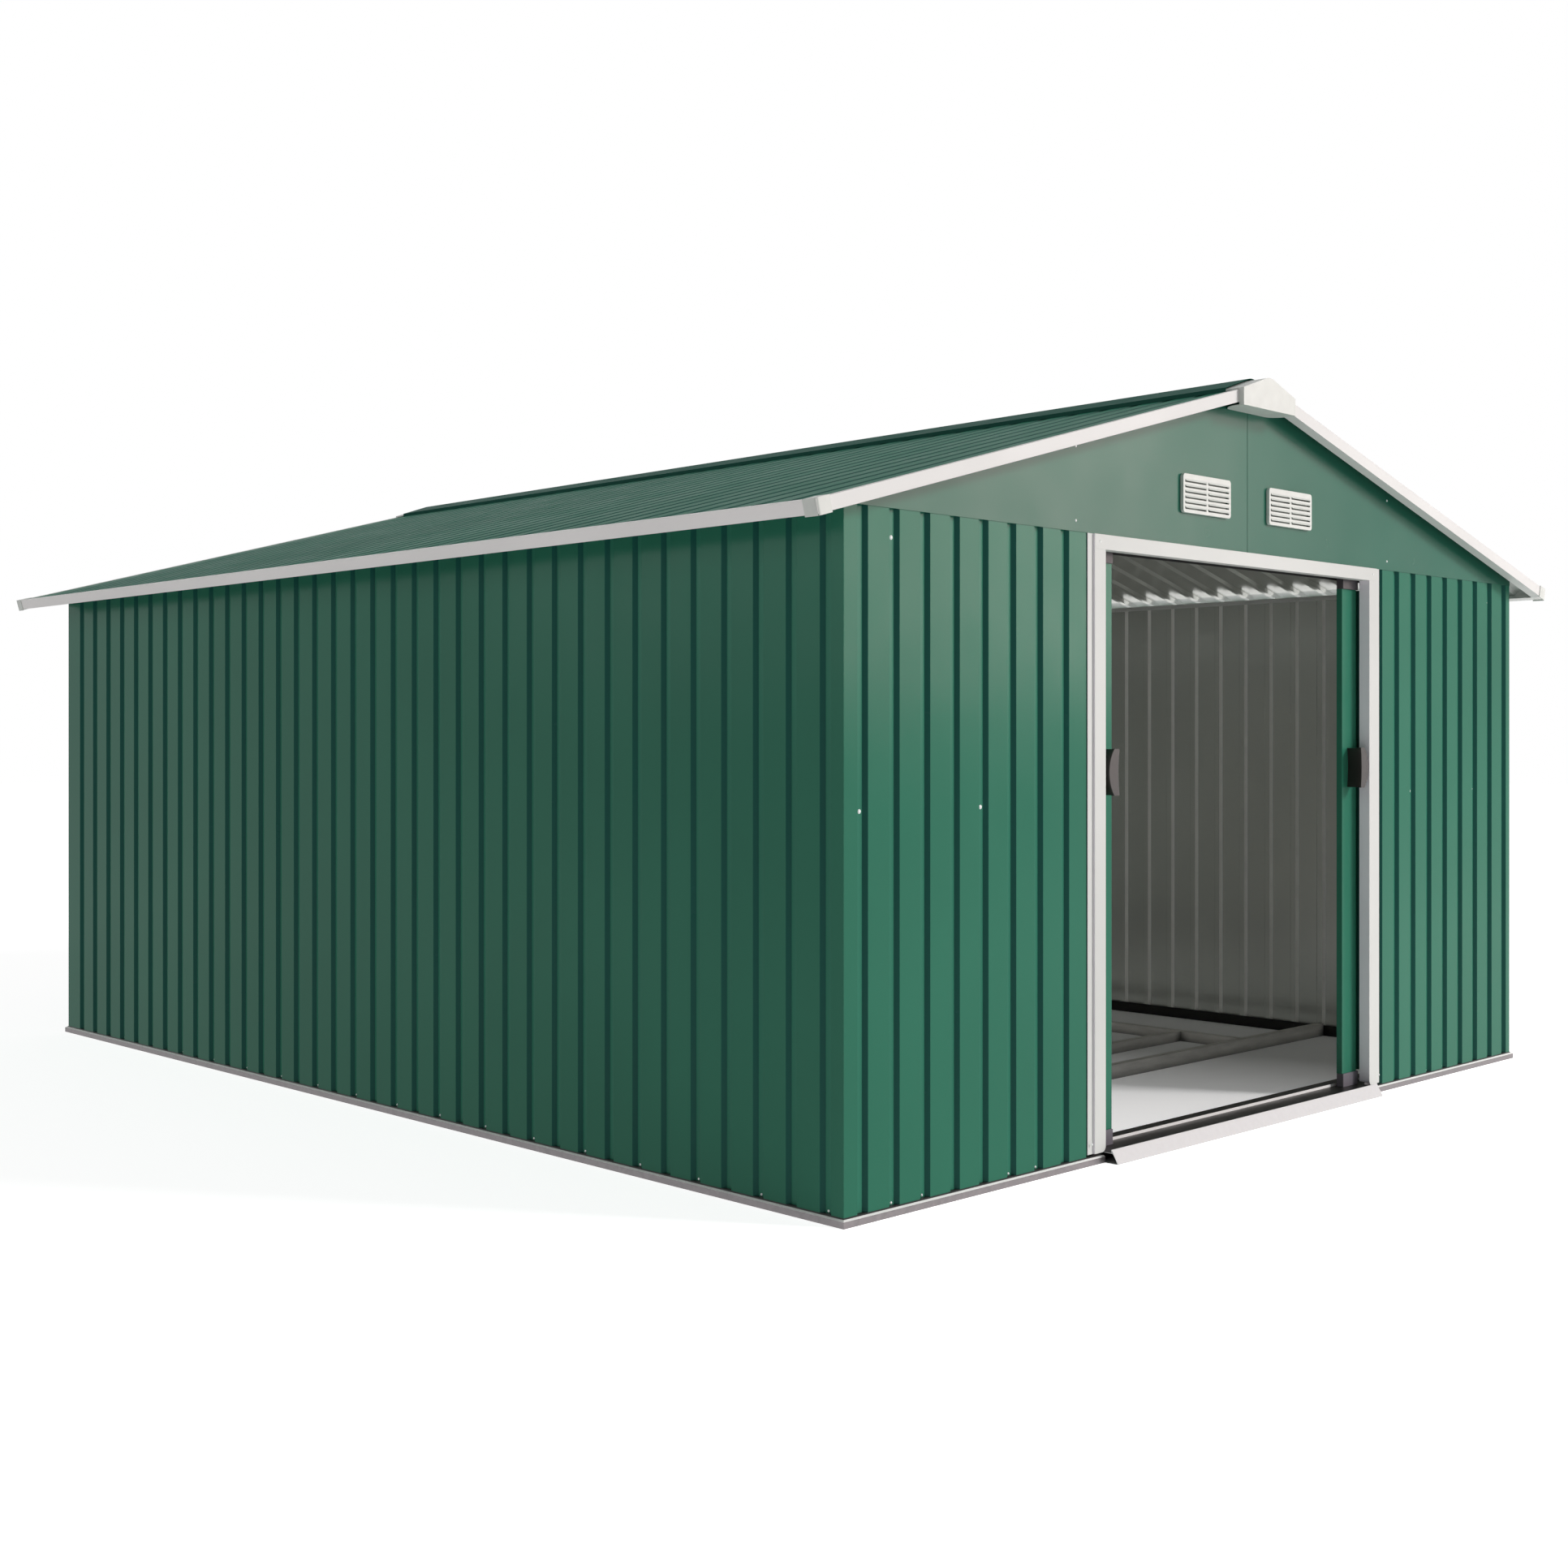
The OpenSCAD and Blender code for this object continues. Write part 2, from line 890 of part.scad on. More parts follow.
// Plan of a corner cap with its upright edge rounded, the outer faces of the trims on the axes
module corner_plan() {
    difference() {
        translate([-corner_rake, -cap_t])
            square([corner_rake + cap_t, corner_eave + cap_t]);
        translate([cap_t - corner_round, corner_round - cap_t])
            difference() {
                translate([0, -corner_round - past])
                    square(corner_round + past);
                circle(corner_round);
            }
    }
}

// Plastic cap over a corner of the roof: a top and two sides that reach below the trims
module corner_cap(edge) {
    on_roof()
        translate([slope_len, -edge, 0])
            difference() {
                translate([0, 0, trim_low_n - corner_drop])
                    linear_extrude(trim_h + corner_drop + cap_t)
                        corner_plan();
                block(
                    [-corner_rake - past, 0, trim_low_n - corner_drop - past],
                    [0, corner_eave + past, trim_top_n]
                );
            }
}

module roof_corner_caps() {
    color(white) {
        corner_cap(rake_y);
        flip_x()
            corner_cap(rake_y);
        flip_y()
            corner_cap(back_rake_y);
        flip_x()
            flip_y()
                corner_cap(back_rake_y);
    }
}

// Outline of a ridge end cap, moved in by d
module end_outline(d) {
    low = roof_z(0, 0) - end_drop + d;
    polygon(concat(
        [[-ridge_half + d, low]],
        crown_line(end_top_n, -d, ridge_half - d),
        [[ridge_half - d, low]]
    ));
}

// Soffit of a ridge end cap seen from above, with its rear corners rounded
module end_soffit(front, back) {
    difference() {
        translate([-ridge_half, front])
            square([2 * ridge_half, back - front]);
        for (side = [0, 1])
            mirror([side, 0])
                translate([ridge_half - end_round, back - end_round])
                    difference() {
                        square(end_round + past);
                        circle(end_round);
                    }
    }
}

// Ridge end cap: a front plate with sides, a soffit back to the gable, a sleeve on the roof's edge and a
// tongue under the ridge cap
module ridge_end(edge) {
    front = -edge - end_reach;
    low = roof_z(0, 0) - end_drop;
    sleeve = -edge + end_side - roof_seat;
    tongue_half = ridge_half - sheet_t - roof_seat;
    color(white) {
        difference() {
            along_y(front, -edge)
                end_outline(0);
            along_y(front + cap_t, -edge + past)
                end_outline(cap_t);
        }
        along_y(front, sleeve)
            crown_section(end_top_n, trim_top_n + roof_seat, cap_t);
        along_y(front, sleeve + end_lap)
            polygon(concat(
                crown_line(end_top_n, 0, tongue_half),
                reversed(crown_line(end_top_n, -cap_t, tongue_half))
            ));
        translate([0, 0, low])
            linear_extrude(cap_t)
                end_soffit(front, -half_d - sheet_t);
    }
}

module ridge_end_front() {
    ridge_end(rake_y);
}

module ridge_end_back() {
    flip_y()
        ridge_end(back_rake_y);
}

// What is cut off the lower inner corner of a jamb
module jamb_corner() {
    along_y(jamb_front_y - past, jamb_back_y + past)
        translate([jamb_in, track_floor])
            difference() {
                translate([-past, -past])
                    square(jamb_round + past);
                translate([jamb_round, jamb_round])
                    circle(jamb_round);
            }
}

// Section of a door jamb, extruded up to the header
module jamb_post() {
    difference() {
        translate([0, 0, track_floor])
            linear_extrude(header_z - track_floor)
                polygon([
                    [jamb_in, jamb_back_y],
                    [jamb_in, jamb_front_y],
                    [jamb_out, jamb_front_y],
                    [jamb_out, -half_d - sheet_t],
                    [flange_out, -half_d - sheet_t],
                    [flange_out, -half_d],
                    [jamb_out - sheet_t, -half_d],
                    [jamb_out - sheet_t, jamb_front_y + sheet_t],
                    [jamb_in + sheet_t, jamb_front_y + sheet_t],
                    [jamb_in + sheet_t, jamb_back_y]
                ]);
        jamb_corner();
    }
}

// Door jamb: a flange on the wall sheet, a proud face and a return into the doorway
module door_jamb_right() {
    color(white) {
        jamb_post();
        // The flange and the outer edge run on past the end of the header
        block([jamb_out - sheet_t, jamb_front_y, header_z], [jamb_out, -half_d, wall_h]);
        block([jamb_out - sheet_t, -half_d - sheet_t, header_z], [flange_out, -half_d, wall_h]);
    }
}

module door_jamb_left() {
    flip_x()
        door_jamb_right();
}

// Header: a white face over the doorway, folded back under the gable and to the upper track
module door_header() {
    end = jamb_out - sheet_t;
    color(white) {
        along_x(-end, end)
            polygon([
                [jamb_front_y, header_z],
                [jamb_front_y, wall_h],
                [-half_d, wall_h],
                [-half_d, wall_h - sheet_t],
                [jamb_front_y + sheet_t, wall_h - sheet_t],
                [jamb_front_y + sheet_t, header_z]
            ]);
        block([-end, jamb_front_y, header_z], [end, track_front_y - rail_t, header_z + sheet_t]);
    }
}

// Door panel: a ribbed tray with folded side edges
module leaf() {
    middles = grooves(leaf_first, front_pitch, leaf_first - groove_mouth, leaf_w - leaf_first + groove_mouth);
    color(green)
        translate([open_edge, leaf_y, leaf_bottom])
            linear_extrude(leaf_top - leaf_bottom) {
                polygon(rib_section(0, leaf_w, middles));
                square([sheet_t, leaf_t]);
                translate([leaf_w - sheet_t, 0])
                    square([sheet_t, leaf_t]);
            }
}

// Three shallow channels across the inside of a door
module leaf_braces() {
    run = leaf_top - leaf_bottom - brace_h;
    color(primer)
        for (z = [0, run / 2, run])
            translate([0, 0, leaf_bottom + z])
                along_x(open_edge + sheet_t, leaf_end - sheet_t)
                    polygon([
                        [leaf_y + skin, 0],
                        [leaf_back_y, 0],
                        [leaf_back_y, brace_h],
                        [leaf_y + skin, brace_h],
                        [leaf_y + skin, brace_h - sheet_t],
                        [leaf_back_y - sheet_t, brace_h - sheet_t],
                        [leaf_back_y - sheet_t, sheet_t],
                        [leaf_y + skin, sheet_t]
                    ]);
}

// Outline of a handle seen from the front: straight towards the doorway, bowed on the other side
module handle_outline(inset) {
    width = handle_w - 2 * inset;
    height = handle_h - 2 * inset;
    // The bow starts this far out at the top and bottom
    shoulder = width / 2;
    bow = width - shoulder;
    radius = (height * height / 4 + bow * bow) / (2 * bow);
    hollow_r = (height * height / 4 + grip_hollow * grip_hollow) / (2 * grip_hollow);
    translate([inset, 0])
        difference() {
            intersection() {
                translate([0, -height / 2])
                    square([width, height]);
                translate([width - radius, 0])
                    circle(radius, $fn = 180);
            }
            translate([grip_hollow - hollow_r, 0])
                circle(hollow_r, $fn = 180);
        }
}

// Handle: a body on the door and a wider front plate
module leaf_handle() {
    color(handle_black)
        translate([open_edge + handle_edge, leaf_y, handle_z])
            rotate([90, 0, 0]) {
                linear_extrude(handle_reach)
                    handle_outline(grip_lip);
                translate([0, 0, handle_reach - grip_t])
                    linear_extrude(grip_t)
                        handle_outline(0);
            }
}

// Top slides and bottom guides at both ends of a door
module leaf_runners() {
    color(guide_grey)
        for (x = [open_edge, leaf_end - slide_len]) {
            block([x, runner_y, leaf_top], [x + slide_len, leaf_back_y, header_z + slide_rise]);
            block([x, runner_y, track_floor + run_gap], [x + slide_len, leaf_back_y, leaf_bottom]);
        }
}

module right_door() {
    leaf();
}

module right_door_braces() {
    leaf_braces();
}

module right_door_handle() {
    leaf_handle();
}

module right_door_runners() {
    leaf_runners();
}

module left_door() {
    flip_x()
        leaf();
}

module left_door_braces() {
    flip_x()
        leaf_braces();
}

module left_door_handle() {
    flip_x()
        leaf_handle();
}

module left_door_runners() {
    flip_x()
        leaf_runners();
}

base_rail_front_left();
base_rail_front_right();
base_rail_back();
base_rail_left();
base_rail_right();
floor_beam_front();
floor_beam_back();
floor_runner_left();
floor_runner_right();
floor_joist_front();
floor_joist_back();
door_ramp();
door_track_lower();
door_track_upper();
wall_left();
wall_right();
wall_back();
wall_front_left();
wall_front_right();
top_rail_left();
top_rail_right();
top_rail_back();
gable_front_left();
gable_front_right();
gable_back_left();
gable_back_right();
gable_vents();
ridge_beam();
purlin_left();
purlin_right();
roof_left();
roof_right();
ridge_cap();
rake_trim_front_left();
rake_trim_front_right();
rake_trim_back_left();
rake_trim_back_right();
eave_trim_left();
eave_trim_right();
roof_corner_caps();
ridge_end_front();
ridge_end_back();
door_jamb_left();
door_jamb_right();
door_header();
left_door();
left_door_braces();
left_door_handle();
left_door_runners();
right_door();
right_door_braces();
right_door_handle();
right_door_runners();
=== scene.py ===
"""Looks of a green metal storage shed with two sliding doors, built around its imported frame."""

import math

import bmesh
import bpy
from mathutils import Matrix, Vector


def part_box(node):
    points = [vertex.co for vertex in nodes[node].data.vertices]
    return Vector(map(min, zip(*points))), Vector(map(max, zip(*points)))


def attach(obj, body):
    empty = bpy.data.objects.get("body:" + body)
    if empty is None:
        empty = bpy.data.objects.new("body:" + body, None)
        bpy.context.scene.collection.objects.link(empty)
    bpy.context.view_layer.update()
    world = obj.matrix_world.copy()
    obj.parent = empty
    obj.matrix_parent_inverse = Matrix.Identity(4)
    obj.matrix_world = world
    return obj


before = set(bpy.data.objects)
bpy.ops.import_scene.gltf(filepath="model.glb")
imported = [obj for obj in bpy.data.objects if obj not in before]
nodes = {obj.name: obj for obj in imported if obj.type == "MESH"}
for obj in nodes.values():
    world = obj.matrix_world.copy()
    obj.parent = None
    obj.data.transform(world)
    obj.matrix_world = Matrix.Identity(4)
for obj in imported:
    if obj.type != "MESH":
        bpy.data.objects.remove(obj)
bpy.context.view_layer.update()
scene = bpy.context.scene
scene.view_settings.view_transform = "Standard"

# Directions, and the outer faces of the ribbed walls, in metres
FRONT = Vector((0, -1, 0))
LEFT = Vector((-1, 0, 0))
UP = Vector((0, 0, 1))
SIDES = ("left", "right")
WALL_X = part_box("wall_right")[1].x
WALL_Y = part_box("wall_back")[1].y
GROOVE_DEPTH = 0.010

# Camera, fitted to the wall corners and the base line of the photograph
IMAGE_SIZE = 1932
FOCAL_PIXELS = 2352.3
CENTRE_PIXEL = (916.8, 913.3)
SENSOR_WIDTH = 36.0
CAMERA_PLACE = (-4.4435, -4.5949, 1.0142)
CAMERA_YAW = -0.7615
CAMERA_NEAR = 0.05


def make_camera():
    """A level camera, shifted so that its centre falls where the photograph has it."""
    data = bpy.data.cameras.new("camera")
    data.sensor_width = SENSOR_WIDTH
    data.lens = FOCAL_PIXELS / IMAGE_SIZE * SENSOR_WIDTH
    data.shift_x = 0.5 - CENTRE_PIXEL[0] / IMAGE_SIZE
    data.shift_y = CENTRE_PIXEL[1] / IMAGE_SIZE - 0.5
    data.clip_start = CAMERA_NEAR
    camera = bpy.data.objects.new("camera", data)
    camera.location = CAMERA_PLACE
    camera.rotation_euler = (math.pi / 2, 0, CAMERA_YAW)
    scene.collection.objects.link(camera)
    scene.camera = camera


# Colours, written as 8-bit screen values
GREEN = (46, 112, 90)
# A darker copy of the wall green on the gables, as painted shade
GABLE_SHADED_GREEN = (42, 100, 82)
# Darker greens on the slopes of the grooves in the roof and the walls, as painted shade
GROOVE_SHADE_GREEN = (44, 88, 78)
SLOPE_SHADE_GREEN = (31, 92, 82)
# A lighter green on the floors of the grooves, as painted light
LIT_FLOOR_GREEN = (51, 120, 98)
ROOF_GREEN = (52, 122, 100)
RIDGE_GREEN = (50, 100, 88)
BACK_COAT = (222, 225, 220)
CEILING_COAT = (208, 210, 204)
# A bright white on the sides of the inner ribs that look towards the doorway, as painted highlight
RIB_HIGHLIGHT_COLOUR = (250, 250, 246)
WHITE = (212, 214, 211)
# Lighter copies of the trim white on the rake and eave trims and the left faces of the jambs, as painted
# light
RAKE_LIT_WHITE = (226, 226, 224)
EAVE_LIT_WHITE = (250, 247, 246)
RETURN_LIT_WHITE = (250, 244, 252)
WHITE_PLASTIC = (209, 213, 208)
ZINC = (134, 129, 131)
RAMP_ZINC = (202, 203, 204)
FLOOR_STEEL = (214, 212, 207)
TRACK_BLACK = (24, 24, 23)
# A bright white for the front of the lower track's ridge and the ledge of the base rails, as painted
# highlight
LEDGE_AND_TRACK_HIGHLIGHT = (246, 246, 244)
SCREW_ZINC = (240, 244, 242)
HANDLE_BLACK = (34, 32, 30)
GUIDE_GREY = (98, 95, 103)
SLIDE_GREY = (70, 67, 70)

# Screen values to linear ones
FULL_BYTE = 255
CURVE_KNEE = 0.04045
CURVE_SLOPE = 12.92
CURVE_OFFSET = 0.055
CURVE_POWER = 2.4


def linear_part(value):
    """Linear value of one 8-bit part of a screen colour."""
    part = value / FULL_BYTE
    if part <= CURVE_KNEE:
        return part / CURVE_SLOPE
    return ((part + CURVE_OFFSET) / (1 + CURVE_OFFSET)) ** CURVE_POWER


def linear(colour):
    """Linear RGBA of an 8-bit screen colour."""
    return [linear_part(value) for value in colour] + [1.0]


def feed(tree, value, socket):
    """Links an output to the socket, or sets the socket to a plain value."""
    if isinstance(value, bpy.types.NodeSocket):
        tree.links.new(value, socket)
    else:
        socket.default_value = value


def math_node(tree, operation, *values):
    """A math node fed with numbers and sockets."""
    node = tree.nodes.new("ShaderNodeMath")
    node.operation = operation
    for socket, value in zip(node.inputs, values):
        feed(tree, value, socket)
    return node.outputs[0]


def length_node(tree, operation, *values):
    """A vector math node whose result is a number, fed with vectors and sockets."""
    node = tree.nodes.new("ShaderNodeVectorMath")
    node.operation = operation
    for socket, value in zip(node.inputs, values):
        feed(tree, value, socket)
    return node.outputs["Value"]


def map_node(tree, value, from_range, to_range):
    """A map range node whose ends may be numbers or sockets."""
    node = tree.nodes.new("ShaderNodeMapRange")
    tree.links.new(value, node.inputs["Value"])
    for name, end in zip(("From Min", "From Max", "To Min", "To Max"), (*from_range, *to_range)):
        feed(tree, end, node.inputs[name])
    return node.outputs["Result"]


def axis_parts(tree, vector):
    """The X, Y and Z of a vector."""
    node = tree.nodes.new("ShaderNodeSeparateXYZ")
    tree.links.new(vector, node.inputs[0])
    return node.outputs


# Materials: the span that most of a noise falls in, and how fine a noise is
FULL_SPAN = (0.0, 1.0)
NOISE_SPAN = (0.3, 0.7)
NOISE_DETAIL = 2.0
SMOOTH = 1.0
ROUGH_SPREAD = 0.04
CORNER_SAMPLES = 8
CORNER_SPAN = (0.35, 0.85)


class Shader:
    """A material whose nodes are added one by one, with the principled shader at the end."""

    def __init__(self, name):
        self.material = bpy.data.materials.new(name)
        self.material.use_nodes = True
        self.tree = self.material.node_tree
        self.principled = self.tree.nodes["Principled BSDF"]
        self.place = self.add("ShaderNodeTexCoord").outputs["Object"]

    def add(self, kind, **settings):
        node = self.tree.nodes.new(kind)
        for key, value in settings.items():
            setattr(node, key, value)
        return node

    def link(self, source, target):
        self.tree.links.new(source, target)

    def compute(self, operation, *values):
        return math_node(self.tree, operation, *values)

    def stretched(self, scale):
        """The place in the object, with each axis scaled by its own factor."""
        mapping = self.add("ShaderNodeMapping")
        mapping.inputs["Scale"].default_value = scale
        self.link(self.place, mapping.inputs["Vector"])
        return mapping.outputs["Vector"]

    def noise(self, scale, detail=NOISE_DETAIL, stretch=None, seed=0.0):
        node = self.add("ShaderNodeTexNoise", noise_dimensions="4D")
        node.inputs["Scale"].default_value = scale
        node.inputs["Detail"].default_value = detail
        node.inputs["W"].default_value = seed
        self.link(self.stretched(stretch) if stretch else self.place, node.inputs["Vector"])
        return node.outputs["Fac"]

    def cells(self, scale):
        node = self.add("ShaderNodeTexVoronoi")
        node.inputs["Scale"].default_value = scale
        self.link(self.place, node.inputs["Vector"])
        return node.outputs["Color"]

    def remap(self, value, to_range, from_range=NOISE_SPAN):
        return map_node(self.tree, value, from_range, to_range)

    def uneven(self, roughness, noise, spread=ROUGH_SPREAD):
        """A roughness that varies a little with a noise."""
        return self.remap(noise, (roughness - spread, roughness + spread))

    def shaded(self, colour, value):
        """A colour made lighter and darker by a value around 1."""
        node = self.add("ShaderNodeMix", data_type="RGBA", blend_type="MULTIPLY")
        node.inputs["Factor"].default_value = 1.0
        node.inputs["A"].default_value = colour
        self.link(value, node.inputs["B"])
        return node.outputs["Result"]

    def bump(self, height, distance, below=None):
        """A normal that a height bends, over a smoother normal where one is given."""
        node = self.add("ShaderNodeBump")
        node.inputs["Strength"].default_value = 1.0
        node.inputs["Distance"].default_value = distance
        self.link(height, node.inputs["Height"])
        if below:
            self.link(below, node.inputs["Normal"])
        return node.outputs["Normal"]

    def corners(self, reach, low):
        """A value that falls from 1 to low in corners, as painted shade."""
        node = self.add("ShaderNodeAmbientOcclusion", samples=CORNER_SAMPLES)
        node.inputs["Distance"].default_value = reach
        return self.remap(node.outputs["AO"], (low, 1.0), CORNER_SPAN)

    def set(self, **values):
        """Feeds inputs of the principled shader, named with underscores for spaces."""
        for key, value in values.items():
            feed(self.tree, value, self.principled.inputs[key.replace("_", " ")])


# Painted sheet
BEND_RADIUS = 0.001
BEND_SAMPLES = 4
PATCH_SCALE = 1.4
PATCH_TONE = (0.93, 1.07)
SMEAR_SCALE = 6.0
SMEAR_DETAIL = 4.0
WAVE_SCALE = 2.6
BROAD_WAVE = 0.0012
GABLE_WAVE = 0.0032
NARROW_WAVE = 0.0006
RIB_WAVE = 0.0003
PEEL_SCALE = 700.0
PEEL_DEPTH = 0.00002
SHEET_GLOSS = 0.09
GABLE_GLOSS = 0.15
ROOF_GLOSS = 0.001
COAT_GLOSS = 0.5
COAT_METAL = 0.5
COAT_FADE = 0.01


def painted_sheet(name, colour, roughness, wave, seed=0.0, gloss=SHEET_GLOSS, metallic=0.0):
    """Coil-coated sheet steel: soft patches of tone, rounded bends, slight waves and orange peel."""
    shader = Shader(name)
    patches = shader.remap(shader.noise(PATCH_SCALE, seed=seed), PATCH_TONE)
    shader.set(Base_Color=shader.shaded(linear(colour), patches))
    shader.set(Specular_IOR_Level=gloss, Metallic=metallic)
    shader.set(Roughness=shader.uneven(roughness, shader.noise(SMEAR_SCALE, SMEAR_DETAIL, seed=seed)))
    bends = shader.add("ShaderNodeBevel", samples=BEND_SAMPLES)
    bends.inputs["Radius"].default_value = BEND_RADIUS
    waves = shader.bump(shader.noise(WAVE_SCALE, SMOOTH, seed=seed), wave, below=bends.outputs["Normal"])
    shader.set(Normal=shader.bump(shader.noise(PEEL_SCALE, SMOOTH), PEEL_DEPTH, below=waves))
    return shader.material


def roof_back(name, colour, lit_eave_colour, roughness):
    """Back coat of the roof sheets, turned white and not metallic where they reach past the walls, as
    painted light on the underside of the overhang.
    """
    shader = Shader(name)
    across = shader.compute("ABSOLUTE", axis_parts(shader.tree, shader.place)["X"])
    past = shader.remap(across, FULL_SPAN, (WALL_X, WALL_X + COAT_FADE))
    mix = shader.add("ShaderNodeMix", data_type="RGBA")
    shader.link(past, mix.inputs["Factor"])
    mix.inputs["A"].default_value = linear(colour)
    mix.inputs["B"].default_value = linear(lit_eave_colour)
    shader.set(Base_Color=mix.outputs["Result"], Metallic=shader.remap(past, (COAT_METAL, 0.0), FULL_SPAN))
    shader.set(Roughness=shader.uneven(roughness, shader.noise(SMEAR_SCALE, SMEAR_DETAIL)))
    shader.set(Normal=shader.bump(shader.noise(PEEL_SCALE, SMOOTH), PEEL_DEPTH))
    return shader.material


# Zinc
SPANGLE_SCALE = 85.0
SPANGLE_ROUGHNESS = (0.36, 0.5)
ZINC_GRAIN_SCALE = 240.0
ZINC_GRAIN_DETAIL = 3.0
ZINC_GRAIN_DEPTH = 0.00006
# A black strip along the foot of the walls, on the ledge of the base rails, as painted shadow
FOOT_SHADOW_WIDTH = 0.003
FOOT_SHADOW_TONE = 0.02
FOOT_SHADOW_EDGE = 0.001
LEDGE_TONE = (0.95, 1.05)
LEDGE_ROUGHNESS = (0.4, 0.55)
LEDGE_SCALE = 60.0


def galvanised(name, colour, metallic=0.75, contrast=0.1):
    """Hot-dip zinc with its spangle."""
    shader = Shader(name)
    spangle = shader.cells(SPANGLE_SCALE)
    tone = shader.remap(spangle, (1 - contrast, 1 + contrast), FULL_SPAN)
    shader.set(Base_Color=shader.shaded(linear(colour), tone), Metallic=metallic)
    shader.set(Roughness=shader.remap(spangle, SPANGLE_ROUGHNESS, FULL_SPAN))
    shader.set(Normal=shader.bump(shader.noise(ZINC_GRAIN_SCALE, ZINC_GRAIN_DETAIL), ZINC_GRAIN_DEPTH))
    return shader.material


def shaded_and_lit_ledge(name, colour):
    """Upper side of the base rail: a black strip along the foot of the wall as painted shadow, and a bright
    white outside it as painted highlight.
    """
    shader = Shader(name)
    place = axis_parts(shader.tree, shader.place)
    past_x = shader.compute("SUBTRACT", shader.compute("ABSOLUTE", place["X"]), WALL_X)
    past_y = shader.compute("SUBTRACT", shader.compute("ABSOLUTE", place["Y"]), WALL_Y)
    past = shader.compute("MAXIMUM", past_x, past_y)
    unshadowed = shader.remap(past, (FOOT_SHADOW_TONE, 1.0), (FOOT_SHADOW_WIDTH, FOOT_SHADOW_WIDTH + FOOT_SHADOW_EDGE))
    spangle = shader.remap(shader.cells(SPANGLE_SCALE), LEDGE_TONE, FULL_SPAN)
    shader.set(Base_Color=shader.shaded(linear(colour), shader.compute("MULTIPLY", unshadowed, spangle)))
    shader.set(Roughness=shader.remap(shader.noise(LEDGE_SCALE), LEDGE_ROUGHNESS))
    return shader.material


# Moulded plastic
MOULD_SCALE = 30.0
MOULD_DETAIL = 3.0
MOULD_TONE = (0.95, 1.05)
MOULD_SMEAR_SCALE = 60.0
MOULD_GRAIN_SCALE = 900.0


def moulded(name, colour, roughness, grain):
    """Moulded plastic with a fine texture."""
    shader = Shader(name)
    tone = shader.remap(shader.noise(MOULD_SCALE, MOULD_DETAIL), MOULD_TONE)
    shader.set(Base_Color=shader.shaded(linear(colour), tone))
    shader.set(Roughness=shader.uneven(roughness, shader.noise(MOULD_SMEAR_SCALE)))
    shader.set(Normal=shader.bump(shader.noise(MOULD_GRAIN_SCALE), grain))
    return shader.material


# Folded steel
MARK_SCALE = 9.0
MARK_DETAIL = 4.0
MARK_STRETCH = (1.0, 1.0, 6.0)
MARK_TONE = (0.85, 1.15)
MARK_SPREAD = 0.05
# How far the painted shade in corners reaches, and how dark it gets
CORNER_SHADE_REACH = 0.04
CORNER_SHADE_TONE = 0.12
STEEL_GRAIN_SCALE = 320.0
STEEL_GRAIN_DEPTH = 0.00004


def plain_steel(name, colour, roughness, metallic):
    """Folded steel with rolling marks, darker in its corners as painted shade."""
    shader = Shader(name)
    marks = shader.noise(MARK_SCALE, MARK_DETAIL, stretch=MARK_STRETCH)
    tone = shader.compute("MULTIPLY", shader.remap(marks, MARK_TONE), shader.corners(CORNER_SHADE_REACH, CORNER_SHADE_TONE))
    shader.set(Base_Color=shader.shaded(linear(colour), tone), Metallic=metallic)
    shader.set(Roughness=shader.uneven(roughness, marks, MARK_SPREAD))
    shader.set(Normal=shader.bump(shader.noise(STEEL_GRAIN_SCALE), STEEL_GRAIN_DEPTH))
    return shader.material


green_paint = painted_sheet("green_paint", GREEN, roughness=0.2, wave=BROAD_WAVE)
# Painted shade on the gables
gable_shaded_paint = painted_sheet(
    "gable_shaded_paint", GABLE_SHADED_GREEN, roughness=0.24, wave=GABLE_WAVE, seed=3.0, gloss=GABLE_GLOSS
)
# Painted light on the floors of the grooves
lit_floor_paint = painted_sheet("lit_floor_paint", LIT_FLOOR_GREEN, roughness=0.22, wave=NARROW_WAVE, seed=1.0)
# Painted shade on the slopes of the grooves in the walls
slope_shade_paint = painted_sheet("slope_shade_paint", SLOPE_SHADE_GREEN, roughness=0.24, wave=NARROW_WAVE, seed=2.5)
roof_paint = painted_sheet(
    "roof_paint", ROOF_GREEN, roughness=0.3, wave=BROAD_WAVE, seed=4.0, gloss=ROOF_GLOSS
)
# Painted shade on the slopes of the grooves in the roof
groove_shade_paint = painted_sheet("groove_shade_paint", GROOVE_SHADE_GREEN, roughness=0.34, wave=NARROW_WAVE, seed=2.0)
ridge_paint = painted_sheet("ridge_paint", RIDGE_GREEN, roughness=0.36, wave=BROAD_WAVE, gloss=ROOF_GLOSS)
back_coat = painted_sheet(
    "back_coat",
    BACK_COAT,
    roughness=0.14,
    wave=NARROW_WAVE,
    seed=5.0,
    gloss=COAT_GLOSS,
    metallic=COAT_METAL,
)
# Painted light on the underside of the overhang, past the walls
roof_coat = roof_back("roof_coat", CEILING_COAT, WHITE, roughness=0.18)
white_paint = painted_sheet("white_paint", WHITE, roughness=0.4, wave=NARROW_WAVE, seed=7.0)
# Painted light on the rake and eave trims and the left faces of the jambs
rake_lit_paint = painted_sheet("rake_lit_paint", RAKE_LIT_WHITE, roughness=0.4, wave=NARROW_WAVE, seed=8.0)
eave_lit_paint = painted_sheet("eave_lit_paint", EAVE_LIT_WHITE, roughness=0.4, wave=NARROW_WAVE, seed=9.0)
return_lit_paint = painted_sheet("return_lit_paint", RETURN_LIT_WHITE, roughness=0.4, wave=NARROW_WAVE, seed=9.5)
